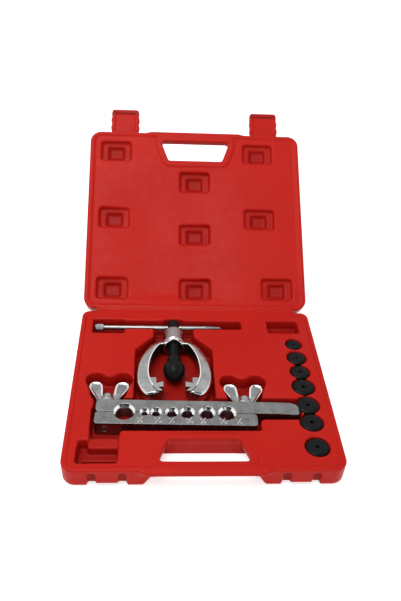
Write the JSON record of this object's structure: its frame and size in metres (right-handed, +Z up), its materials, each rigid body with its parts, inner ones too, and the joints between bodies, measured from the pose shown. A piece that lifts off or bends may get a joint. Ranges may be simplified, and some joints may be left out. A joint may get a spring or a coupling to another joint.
{
  "type": "flaring tool kit",
  "caption": "Flaring tool kit in a moulded case: yoke with feed screw and cone, split die bar with wing nuts, and flare adapters.",
  "frame": {"origin": "centre of the bounding box on the ground, with the lid open as at rest", "axes": "+X to the right of the case seen from the front, +Y from the front to the lid, +Z up"},
  "size_m": [0.255, 0.4486, 0.173],
  "materials": {
    "red_plastic": "blow-moulded polyethylene with a fine satin grain",
    "chrome": "bright nickel and chrome plate over a cast surface",
    "brushed_bar": "plated steel, ground and brushed along its length",
    "zinc_steel": "zinc plated",
    "black_oxide": "black oxide, oiled"
  },
  "bodies": {
    "base": {"case_base": "red_plastic", "hinge_strap": "red_plastic"},
    "lid": {"case_lid": "red_plastic"},
    "latch_l": {"latch_left": "red_plastic"},
    "latch_r": {"latch_right": "red_plastic"},
    "yoke_body": {"yoke": "chrome"},
    "cone": {"flaring_cone": "black_oxide"},
    "screw": {"feed_screw": "black_oxide"},
    "handle": {"handle_rod": "chrome", "handle_cap": "chrome"},
    "die_front": {"front_bar": "brushed_bar", "stud_left": "zinc_steel", "stud_right": "zinc_steel", "stud_pin_left": "zinc_steel", "stud_pin_right": "zinc_steel", "dowel_left": "zinc_steel", "dowel_right": "zinc_steel"},
    "die_rear": {"rear_bar": "brushed_bar", "washer_left": "zinc_steel", "washer_right": "zinc_steel"},
    "nut_left": {"wing_nut_left": "chrome"},
    "nut_right": {"wing_nut_right": "chrome"},
    "adapter_3_16": {"adapter_3_16": "black_oxide"},
    "adapter_1_4": {"adapter_1_4": "black_oxide"},
    "adapter_5_16": {"adapter_5_16": "black_oxide"},
    "adapter_3_8": {"adapter_3_8": "black_oxide"},
    "adapter_7_16": {"adapter_7_16": "black_oxide"},
    "adapter_1_2": {"adapter_1_2": "black_oxide"},
    "adapter_5_8": {"adapter_5_8": "black_oxide"}
  },
  "joints": [
    {"name": "lid_hinge", "type": "hinge", "parent": "base", "child": "lid", "pos_m": [0, 0.00405, 0.023], "axis": [-1, 0, 0], "range_deg": [-143, 36]},
    {"name": "latch_l_hinge", "type": "hinge", "parent": "lid", "child": "latch_l", "pos_m": [-0.0865, 0.19397, 0.15009], "axis": [1, 0, 0], "range_deg": [0, 90]},
    {"name": "latch_r_hinge", "type": "hinge", "parent": "lid", "child": "latch_r", "pos_m": [0.0865, 0.19397, 0.15009], "axis": [1, 0, 0], "range_deg": [0, 90]},
    {"name": "yoke_lift", "type": "slide", "parent": "base", "child": "yoke_body", "axis": [0, 0, 1], "range_m": [0, 0.12]},
    {"name": "cone_feed", "type": "slide", "parent": "yoke_body", "child": "cone", "axis": [0, -1, 0], "range_m": [0, 0.00033]},
    {"name": "screw_turn", "type": "hinge", "parent": "cone", "child": "screw", "pos_m": [-0.026, -0.05595, 0.018], "axis": [0, 1, 0], "range_deg": [0, 78]},
    {"name": "handle_slide", "type": "slide", "parent": "screw", "child": "handle", "axis": [1, 0, 0], "range_m": [0, 0.02]},
    {"name": "bar_lift", "type": "slide", "parent": "base", "child": "die_front", "axis": [0, 0, 1], "range_m": [0, 0.12]},
    {"name": "clamp_open", "type": "slide", "parent": "die_front", "child": "die_rear", "axis": [0.0209, 0.9998, 0], "range_m": [0, 0.0023]},
    {"name": "nut_left_turn", "type": "hinge", "parent": "die_rear", "child": "nut_left", "pos_m": [-0.09143, -0.13475, 0.0162], "axis": [0.0209, 0.9998, 0], "range_deg": [-662, 0]},
    {"name": "nut_right_turn", "type": "hinge", "parent": "die_rear", "child": "nut_right", "pos_m": [0.04235, -0.13756, 0.0162], "axis": [0.0209, 0.9998, 0], "range_deg": [-662, 0]},
    {"name": "adapter_3_16_lift", "type": "slide", "parent": "base", "child": "adapter_3_16", "axis": [0, 0, 1], "range_m": [0, 0.05]},
    {"name": "adapter_1_4_lift", "type": "slide", "parent": "base", "child": "adapter_1_4", "axis": [0, 0, 1], "range_m": [0, 0.05]},
    {"name": "adapter_5_16_lift", "type": "slide", "parent": "base", "child": "adapter_5_16", "axis": [0, 0, 1], "range_m": [0, 0.05]},
    {"name": "adapter_3_8_lift", "type": "slide", "parent": "base", "child": "adapter_3_8", "axis": [0, 0, 1], "range_m": [0, 0.05]},
    {"name": "adapter_7_16_lift", "type": "slide", "parent": "base", "child": "adapter_7_16", "axis": [0, 0, 1], "range_m": [0, 0.05]},
    {"name": "adapter_1_2_lift", "type": "slide", "parent": "base", "child": "adapter_1_2", "axis": [0, 0, 1], "range_m": [0, 0.05]},
    {"name": "adapter_5_8_lift", "type": "slide", "parent": "base", "child": "adapter_5_8", "axis": [0, 0, 1], "range_m": [0, 0.05]}
  ],
  "couplings": [
    {"joint": "cone_feed", "follows": "yoke_lift", "ratio": 0.0026738},
    {"joint": "screw_turn", "follows": "yoke_lift", "rad_per_m": 11.2},
    {"joint": "clamp_open", "follows": "bar_lift", "ratio": 0.019099},
    {"joint": "nut_left_turn", "follows": "bar_lift", "rad_per_m": -96},
    {"joint": "nut_right_turn", "follows": "bar_lift", "rad_per_m": -96}
  ]
}
